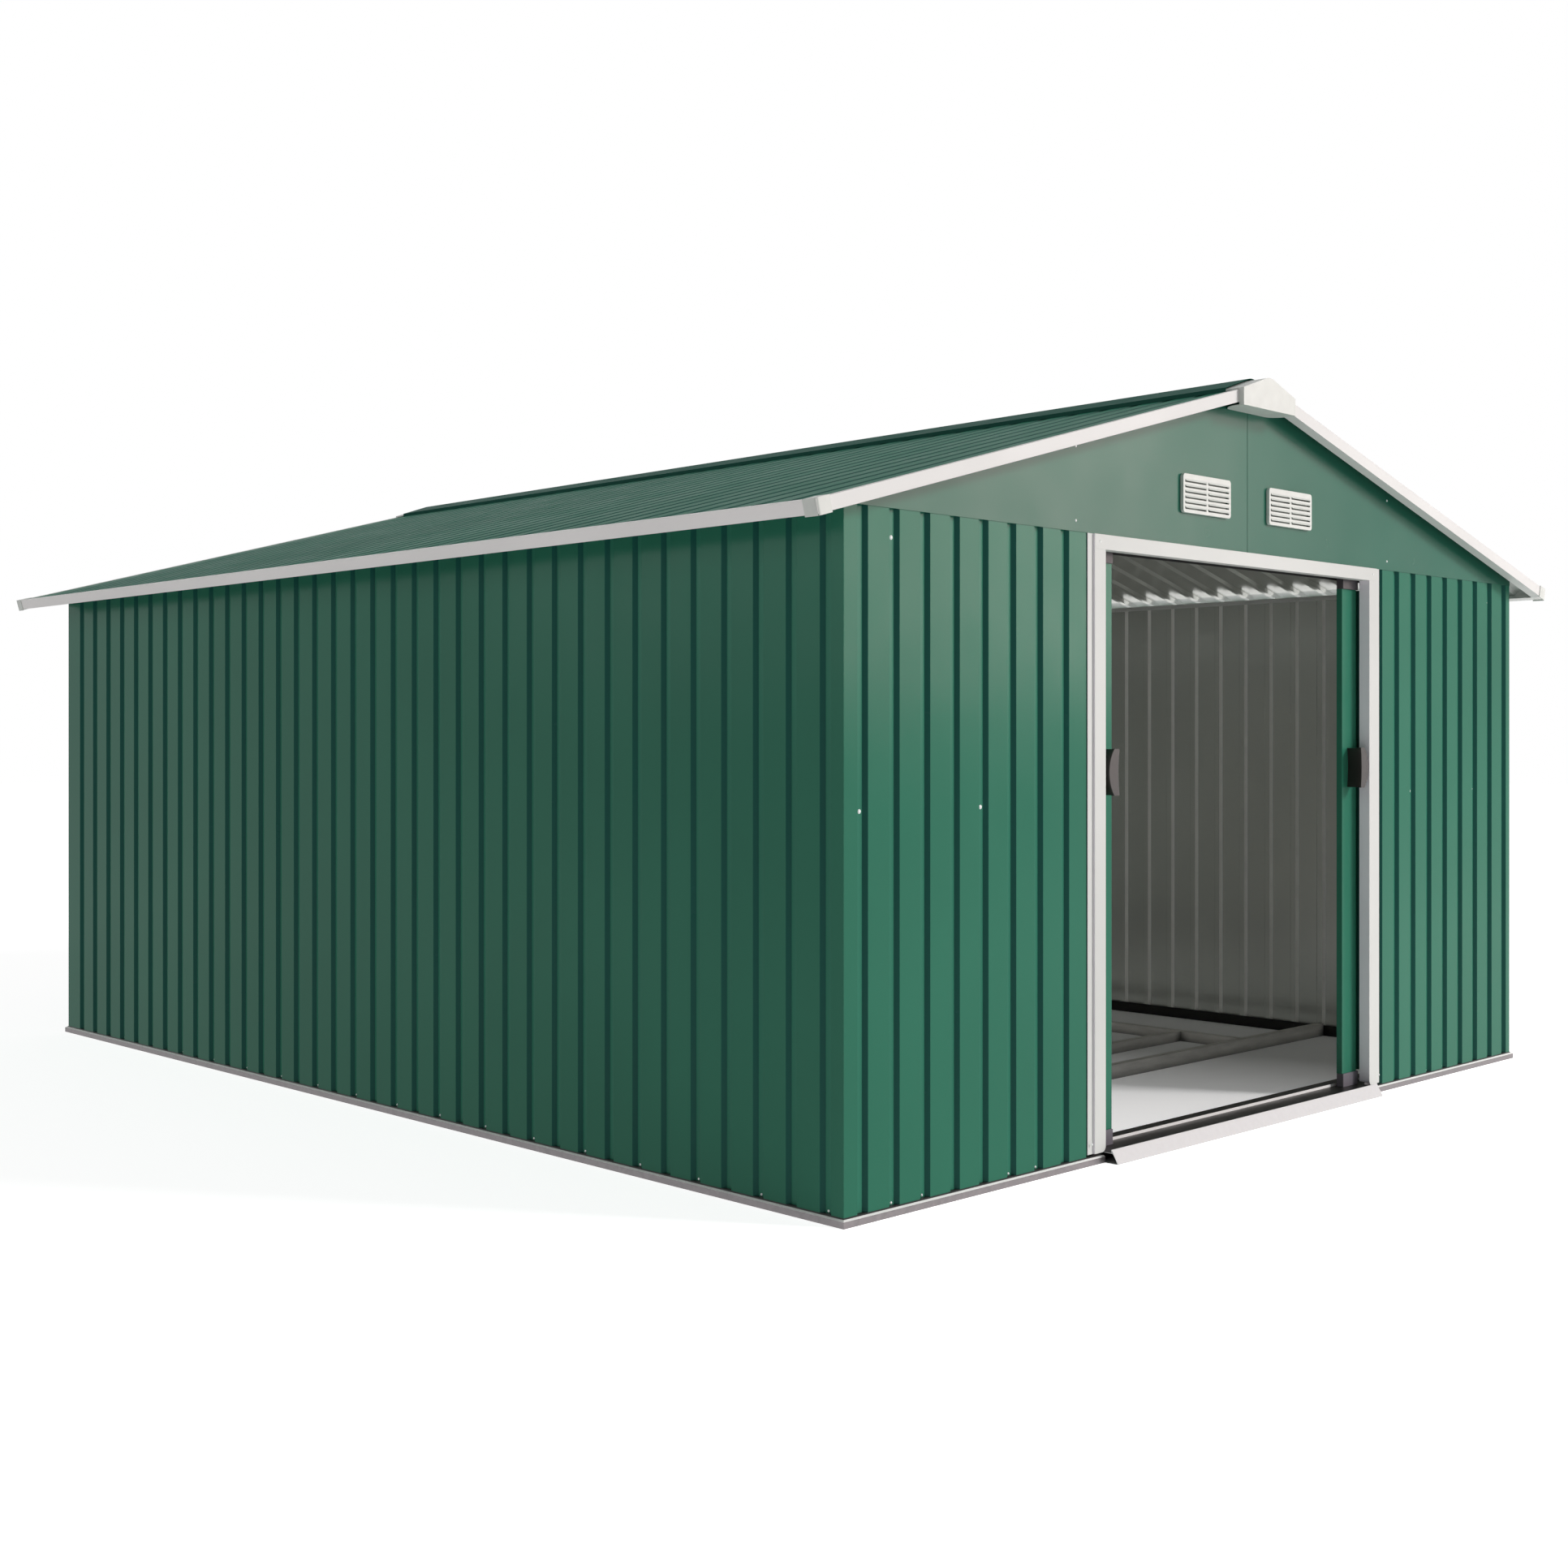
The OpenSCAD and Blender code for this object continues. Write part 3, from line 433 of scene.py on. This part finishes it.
# Painted highlight on the inner ribs
rib_highlight_coat = painted_sheet("rib_highlight_coat", RIB_HIGHLIGHT_COLOUR, roughness=0.3, wave=RIB_WAVE, seed=6.0)
white_plastic = moulded("white_plastic", WHITE_PLASTIC, roughness=0.42, grain=0.00002)
zinc = galvanised("zinc", ZINC)
# Painted shadow and painted highlight on the ledge of the base rails
ledge_shadow_and_highlight = shaded_and_lit_ledge("ledge_shadow_and_highlight", LEDGE_AND_TRACK_HIGHLIGHT)
ramp_zinc = galvanised("ramp_zinc", RAMP_ZINC, metallic=0.15, contrast=0.03)
floor_steel = plain_steel("floor_steel", FLOOR_STEEL, roughness=0.45, metallic=0.1)
# Black for the tracks and the sill, and painted shade on the inner faces of the base rails and under the
# ramp
black_and_shade = plain_steel("black_and_shade", TRACK_BLACK, roughness=0.4, metallic=0.2)
screw_zinc = galvanised("screw_zinc", SCREW_ZINC, metallic=0.2)
# Painted highlight on the lower track's ridge
track_ridge_highlight = galvanised("track_ridge_highlight", LEDGE_AND_TRACK_HIGHLIGHT, metallic=0.0, contrast=0.02)
handle_black = moulded("handle_black", HANDLE_BLACK, roughness=0.38, grain=0.00003)
slide_grey = moulded("slide_grey", SLIDE_GREY, roughness=0.5, grain=0.00004)
guide_grey = moulded("guide_grey", GUIDE_GREY, roughness=0.5, grain=0.00004)

# Finishes: how far a face's normal has to point along a direction, as a cosine, and tolerances in metres
FACING = 0.8
BACK_FACING = -0.1
SLOPE_FACING = (0.2, 0.85)
FLAT_FACING = 0.95
SQUARE_FACING = 0.9
RIB_FACING = 0.3
DOORWAY_FACING = 0.5
CROSS_FACING = 0.5
SAME_PLACE = 0.0005
TOP_BAND = 0.001


def paint(names, material):
    """One finish on whole nodes."""
    for name in names:
        nodes[name].data.materials.clear()
        nodes[name].data.materials.append(material)


def repaint(name, material, chosen):
    """Another finish on the faces of a node that chosen picks."""
    mesh = nodes[name].data
    mesh.materials.append(material)
    for polygon in mesh.polygons:
        if chosen(polygon):
            polygon.material_index = len(mesh.materials) - 1


def paint_faces(name, direction, material):
    """Another finish on the faces of a node that look one way."""
    repaint(name, material, lambda face: face.normal.dot(direction) > FACING)


def paint_two_sides(name, outward, outside, inside):
    """Sheet with one finish on the faces towards outward and on its edges, and another on the back."""
    paint([name], outside)
    repaint(name, inside, lambda face: face.normal.dot(outward) < BACK_FACING)


def shade_groove_slopes(name, outward, material):
    """Painted shade: the slopes of the grooves get a darker green than the flats, standing in for the shade
    in the grooves.
    """
    low, high = SLOPE_FACING
    repaint(name, material, lambda face: low < face.normal.dot(outward) < high)


def light_groove_floors(name, outward):
    """Painted light: the floors of the grooves get a lighter green than the flats, standing in for the light
    that falls on them.
    """
    flats = [face for face in nodes[name].data.polygons if face.normal.dot(outward) > FLAT_FACING]
    outside = max(face.center.dot(outward) for face in flats)

    def is_floor(face):
        sunk = face.center.dot(outward) < outside - GROOVE_DEPTH / 2
        return sunk and face.normal.dot(outward) > FLAT_FACING

    repaint(name, lit_floor_paint, is_floor)


def paint_rib_highlights(name, inward):
    """Painted highlight: a bright white that is not metallic, on the sides of the ribs that look towards the
    doorway.
    """

    def is_lit(face):
        return face.normal.dot(inward) > RIB_FACING and face.normal.dot(FRONT) > DOORWAY_FACING

    repaint(name, rib_highlight_coat, is_lit)


def darken_slides(name):
    """The top slides of a door are darker than the guides at its foot."""
    low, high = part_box(name)
    middle = (low.z + high.z) / 2
    repaint(name, slide_grey, lambda face: face.center.z > middle)


def finish_sheets():
    """Walls, door leaves, roof and gables: green outside, pale inside."""
    ribbed = {"wall_left": LEFT, "wall_right": -LEFT, "wall_back": -FRONT}
    for side in SIDES:
        ribbed[f"wall_front_{side}"] = FRONT
        ribbed[f"{side}_door"] = FRONT
    for name, outward in ribbed.items():
        paint_two_sides(name, outward, green_paint, back_coat)
        shade_groove_slopes(name, outward, slope_shade_paint)
        light_groove_floors(name, outward)
    paint_rib_highlights("wall_left", -LEFT)
    paint_rib_highlights("wall_right", LEFT)
    for side in SIDES:
        paint_two_sides(f"roof_{side}", UP, roof_paint, roof_coat)
        shade_groove_slopes(f"roof_{side}", UP, groove_shade_paint)
        paint_two_sides(f"gable_front_{side}", FRONT, gable_shaded_paint, back_coat)
        paint_two_sides(f"gable_back_{side}", -FRONT, gable_shaded_paint, back_coat)


def finish_frame():
    """Trims, caps, vents, roof frame and floor frame."""
    for side in SIDES:
        # Lighter copies of the trim white on the rake and eave trims, as painted light
        paint([f"rake_trim_front_{side}", f"rake_trim_back_{side}"], rake_lit_paint)
        paint([f"eave_trim_{side}"], eave_lit_paint)
        paint([f"top_rail_{side}"], white_paint)
        paint([f"purlin_{side}"], back_coat)
        paint([f"floor_runner_{side}"], floor_steel)
    paint(["top_rail_back"], white_paint)
    paint(["ridge_beam"], back_coat)
    paint(["ridge_cap"], ridge_paint)
    paint(["gable_vents", "roof_corner_caps", "ridge_end_front", "ridge_end_back"], white_plastic)
    paint(["floor_beam_front", "floor_beam_back", "floor_joist_front", "floor_joist_back"], floor_steel)


def finish_base():
    """Base rails: zinc, with painted shadow and painted highlight on the ledge outside, and black on the
    faces towards the shed's floor as painted shade.
    """
    for rail in ("left", "right", "back", "front_left", "front_right"):
        paint([f"base_rail_{rail}"], zinc)
        paint_faces(f"base_rail_{rail}", UP, ledge_shadow_and_highlight)
    # Black on the inner faces of the rails, as painted shade
    paint_faces("base_rail_left", -LEFT, black_and_shade)
    paint_faces("base_rail_right", LEFT, black_and_shade)
    paint_faces("base_rail_back", FRONT, black_and_shade)


def finish_doorway():
    """Jambs, header, tracks, ramp and what the door leaves carry."""
    for side in SIDES:
        paint([f"door_jamb_{side}"], white_paint)
        # A lighter white on the faces of the jambs that look left, as painted light
        paint_faces(f"door_jamb_{side}", LEFT, return_lit_paint)
        paint([f"{side}_door_braces"], back_coat)
        paint([f"{side}_door_handle"], handle_black)
        paint([f"{side}_door_runners"], guide_grey)
        darken_slides(f"{side}_door_runners")
    paint(["door_header"], white_paint)
    paint(["door_track_upper", "door_track_lower"], black_and_shade)
    paint(["door_ramp"], ramp_zinc)
    paint_ridge_highlight("door_track_lower")
    blacken_sill_and_shade_underside("door_ramp")


def paint_ridge_highlight(name):
    """Painted highlight: a bright white that is not metallic on the front of the lower track's ridge."""
    mesh = nodes[name].data
    low_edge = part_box(name)[1].z - TOP_BAND
    ridge = [face for face in mesh.polygons if face.normal.z > SQUARE_FACING and face.center.z > low_edge]
    front_y = min(mesh.vertices[v].co.y for face in ridge for v in face.vertices)

    def is_highlit(face):
        return face.normal.dot(FRONT) > SQUARE_FACING and abs(face.center.y - front_y) < SAME_PLACE

    repaint(name, track_ridge_highlight, is_highlit)


def blacken_sill_and_shade_underside(name):
    """The sill behind the ramp is coated like the track that lies on it; the ramp's underside is painted
    black as painted shade.
    """
    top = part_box(name)[1].z
    crest = max(v.co.y for v in nodes[name].data.vertices if v.co.z > top - SAME_PLACE)

    def is_coated_or_shaded(face):
        behind = face.center.y > crest - SAME_PLACE and abs(face.normal.x) < CROSS_FACING
        return behind or face.normal.z < BACK_FACING

    repaint(name, black_and_shade, is_coated_or_shaded)


# Rounded edges of moulded pieces, in metres and degrees
WELD_REACH = 0.00002
ROUND_ANGLE = 40
HANDLE_ROUND = 0.003
HANDLE_SEGMENTS = 3
SMALL_ROUND = 0.001
SMALL_SEGMENTS = 2


def soften(names, width, segments):
    """Rounds the edges of moulded pieces."""
    for name in names:
        weld = nodes[name].modifiers.new("weld", "WELD")
        weld.merge_threshold = WELD_REACH
        bevel = nodes[name].modifiers.new("bevel", "BEVEL")
        bevel.width = width
        bevel.segments = segments
        bevel.limit_method = "ANGLE"
        bevel.angle_limit = math.radians(ROUND_ANGLE)
        bevel.harden_normals = False


def soften_mouldings():
    soften(["left_door_handle", "right_door_handle"], HANDLE_ROUND, HANDLE_SEGMENTS)
    small = ["left_door_runners", "right_door_runners", "roof_corner_caps", "gable_vents"]
    soften(small, SMALL_ROUND, SMALL_SEGMENTS)


# Floor and sky: brightness near the shed and far from it, and how it falls off inside
FLOOR_SIZE = 80.0
FLOOR_REACH = (4.0, 12.0)
FLOOR_TONE = (0.85, 0.15)
SEEN_GLOW = (0.8, 1.0)
SPREAD_GLOW = 0.3
INSIDE_SPREAD = 0.28
SPILL_PLACE = (-0.6, -2.0, 0.0)
SPILL_REACH = (0.3, 1.75)
SPILL_GLOW = (0.45, 0.03)
RAMP_EDGE = 0.005
SKY_SEEN = 1.0
SKY_LIGHT = 0.18


def seen_rays(tree):
    """1 for the rays that show the background: to the camera, in reflections and through clear things."""
    path = tree.nodes.new("ShaderNodeLightPath").outputs
    mirrored = math_node(tree, "MAXIMUM", path["Is Glossy Ray"], path["Is Transmission Ray"])
    return math_node(tree, "MAXIMUM", path["Is Camera Ray"], mirrored)


def make_world():
    """A white sky for the camera and in reflections, dimmer as a light."""
    world = bpy.data.worlds.new("world")
    scene.world = world
    world.use_nodes = True
    tree = world.node_tree
    background = tree.nodes["Background"]
    background.inputs["Color"].default_value = (1, 1, 1, 1)
    strength = map_node(tree, seen_rays(tree), FULL_SPAN, (SKY_LIGHT, SKY_SEEN))
    tree.links.new(strength, background.inputs["Strength"])


def between(tree, value, low, high):
    """1 where a value lies between two ends."""
    above = math_node(tree, "GREATER_THAN", value, low)
    below = math_node(tree, "LESS_THAN", value, high)
    return math_node(tree, "MULTIPLY", above, below)


def on_plan(tree, position, low, high):
    """1 where a position lies in a rectangle on the plan."""
    place = axis_parts(tree, position)
    by_x = between(tree, place["X"], low[0], high[0])
    by_y = between(tree, place["Y"], low[1], high[1])
    return math_node(tree, "MULTIPLY", by_x, by_y)


def floor_glow(tree, position, radius):
    """Light that the floor gives off: white where it is seen, dim in the shed and none under the ramp."""
    seen = seen_rays(tree)
    seen_glow = map_node(tree, radius, FLOOR_REACH, SEEN_GLOW)
    glow = map_node(tree, seen, FULL_SPAN, (SPREAD_GLOW, seen_glow))
    spill_radius = length_node(tree, "DISTANCE", position, SPILL_PLACE)
    spill = map_node(tree, spill_radius, SPILL_REACH, SPILL_GLOW)
    inside_shade = map_node(tree, seen, FULL_SPAN, (INSIDE_SPREAD, spill))
    inside = on_plan(tree, position, (-WALL_X, -WALL_Y), (WALL_X, WALL_Y))
    shade = map_node(tree, inside, FULL_SPAN, (1.0, inside_shade))
    ramp_low, ramp_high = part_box("door_ramp")
    under_ramp = on_plan(tree, position, (ramp_low.x, ramp_low.y + RAMP_EDGE), (ramp_high.x, ramp_high.y))
    open_floor = math_node(tree, "SUBTRACT", 1.0, under_ramp)
    return math_node(tree, "MULTIPLY", math_node(tree, "MULTIPLY", glow, open_floor), shade)


def floor_material():
    """A matt white that darkens as a surface and brightens as a background away from the shed."""
    material = bpy.data.materials.new("floor")
    material.use_nodes = True
    tree = material.node_tree
    shader = tree.nodes["Principled BSDF"]
    shader.inputs["Roughness"].default_value = 1.0
    shader.inputs["Specular IOR Level"].default_value = 0.0
    shader.inputs["Emission Color"].default_value = (1, 1, 1, 1)
    position = tree.nodes.new("ShaderNodeNewGeometry").outputs["Position"]
    radius = length_node(tree, "LENGTH", position)
    tree.links.new(map_node(tree, radius, FLOOR_REACH, FLOOR_TONE), shader.inputs["Base Color"])
    tree.links.new(floor_glow(tree, position, radius), shader.inputs["Emission Strength"])
    return material


def make_floor():
    """A square of white floor under the shed."""
    mesh = bpy.data.meshes.new("floor")
    half = FLOOR_SIZE / 2
    corners = [(-half, -half, 0), (half, -half, 0), (half, half, 0), (-half, half, 0)]
    mesh.from_pydata(corners, [], [(0, 1, 2, 3)])
    mesh.materials.append(floor_material())
    floor = bpy.data.objects.new("floor", mesh)
    scene.collection.objects.link(floor)


# Lights: place and target in metres, width and height in metres, power in watts
KEY = {"place": (12.6, -19.3, 13.3), "target": (0, -1.8, 0.8), "size": (5.0, 5.0), "power": 3850}
FILL = {"place": (-13.3, 7.1, 5.2), "target": (-1.5, -0.5, 3.0), "size": (10.2, 7.0), "power": 245}
SOFTBOX = {"place": (9.7, -11.5, 3.75), "target": (-0.5, -1.8, 3.0), "size": (5.7, 4.5), "power": 600}
SOFTBOX_COLOUR = (1.0, 0.82, 0.78)


def area_light(name, place, target, size, power):
    """A rectangular lamp that looks at its target."""
    data = bpy.data.lights.new(name, "AREA")
    data.shape = "RECTANGLE"
    data.size, data.size_y = size
    data.energy = power
    light = bpy.data.objects.new(name, data)
    light.location = place
    light.rotation_euler = (Vector(target) - Vector(place)).to_track_quat("-Z", "Y").to_euler()
    scene.collection.objects.link(light)
    return light


def make_lights():
    """A key from the front right that leaves no reflection, a fill from the left rear and a warm softbox."""
    key = area_light("key", **KEY)
    key.visible_glossy = False
    area_light("fill", **FILL)
    softbox = area_light("softbox", **SOFTBOX)
    softbox.data.color = SOFTBOX_COLOUR


# Screws, driven through the groove floors of the sheets and through the flat trims, in metres
FRONT_FIRST = 0.0585
FRONT_PITCH = 0.100
FRONT_GROOVES = 31
SIDE_FIRST = 0.0525
SIDE_PITCH = 0.1017
SIDE_GROOVES = 36
SIDE_EVERY = 2
FOOT_Z = 0.0245
FOOT_GROUP = 4
FOOT_GROOVES = (1, 2)
MIDDLE_Z = 0.866
MIDDLE_EVERY = 4
HEAD_Z = 1.451
HEAD_GROOVES = (1, 29)
GABLE_SCREW_X = 0.75
GABLE_SCREWS_Z = (1.538, 1.715)
HEADER_SCREW_X = 0.66
HEADER_SCREW_Z = 1.494
JAMB_SCREW_X = 0.693
JAMB_SCREW_Z = 0.05
SMALL_RADIUS = 0.0034
LARGE_RADIUS = 0.0052
SCREW_HEIGHT = 0.0022
SCREW_SINK = 0.0004
SCREW_SIDES = 12
# Radius and height of the rings of a head, as shares of its own
SCREW_PROFILE = ((1.0, 0.0), (1.0, 0.25), (0.72, 0.4), (0.6, 0.75), (0.34, 0.95))


def groove_screws(groove):
    """Heights and radii of the screws in one groove of the front and back."""
    if groove % FOOT_GROUP in FOOT_GROOVES:
        yield FOOT_Z, SMALL_RADIUS
    if groove % MIDDLE_EVERY == 0:
        yield MIDDLE_Z, LARGE_RADIUS
    if groove in HEAD_GROOVES:
        yield HEAD_Z, LARGE_RADIUS


def wall_screws():
    """Place, facing and radius of each screw in the ribbed walls."""
    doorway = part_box("door_jamb_right")[1].x
    front_face = WALL_Y - GROOVE_DEPTH
    for groove in range(FRONT_GROOVES):
        x = -WALL_X + FRONT_FIRST + FRONT_PITCH * groove
        for z, radius in groove_screws(groove):
            yield Vector((x, front_face, z)), -FRONT, radius
            if abs(x) > doorway:
                yield Vector((x, -front_face, z)), FRONT, radius
    side_face = WALL_X - GROOVE_DEPTH
    for groove in range(0, SIDE_GROOVES, SIDE_EVERY):
        y = -WALL_Y + SIDE_FIRST + SIDE_PITCH * groove
        yield Vector((-side_face, y, FOOT_Z)), LEFT, SMALL_RADIUS
        yield Vector((side_face, y, FOOT_Z)), -LEFT, SMALL_RADIUS


def trim_screws():
    """Place, facing and radius of each screw in the gables, the header and the jambs."""
    gable_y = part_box("gable_front_left")[0].y
    header_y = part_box("door_header")[0].y
    jamb_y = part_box("door_jamb_left")[0].y
    for side in (-1, 1):
        for z in GABLE_SCREWS_Z:
            yield Vector((side * GABLE_SCREW_X, gable_y, z)), FRONT, SMALL_RADIUS
            yield Vector((side * GABLE_SCREW_X, -gable_y, z)), -FRONT, SMALL_RADIUS
        yield Vector((side * HEADER_SCREW_X, header_y, HEADER_SCREW_Z)), FRONT, SMALL_RADIUS
        yield Vector((side * JAMB_SCREW_X, jamb_y, JAMB_SCREW_Z)), FRONT, SMALL_RADIUS


def add_head(shape, place, facing, size):
    """A flanged dome, made of rings about its axis."""
    turn = facing.to_track_quat("Z", "Y").to_matrix()
    rings = []
    for radius, height in SCREW_PROFILE:
        z = height * SCREW_HEIGHT - SCREW_SINK
        ring = []
        for k in range(SCREW_SIDES):
            angle = 2 * math.pi * k / SCREW_SIDES
            point = Vector((size * radius * math.cos(angle), size * radius * math.sin(angle), z))
            ring.append(shape.verts.new(place + turn @ point))
        rings.append(ring)
    for low, high in zip(rings, rings[1:]):
        for k in range(SCREW_SIDES):
            after = (k + 1) % SCREW_SIDES
            shape.faces.new((low[k], low[after], high[after], high[k]))
    shape.faces.new(rings[-1])


def make_screws():
    """All screw heads as one mesh."""
    shape = bmesh.new()
    for place, facing, radius in (*wall_screws(), *trim_screws()):
        add_head(shape, place, facing, radius)
    mesh = bpy.data.meshes.new("screws")
    shape.to_mesh(mesh)
    shape.free()
    mesh.shade_smooth()
    mesh.materials.append(screw_zinc)
    screws = bpy.data.objects.new("screws", mesh)
    scene.collection.objects.link(screws)
    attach(screws, "shed")


make_camera()
make_world()
make_floor()
make_lights()
finish_sheets()
finish_frame()
finish_base()
finish_doorway()
soften_mouldings()
make_screws()
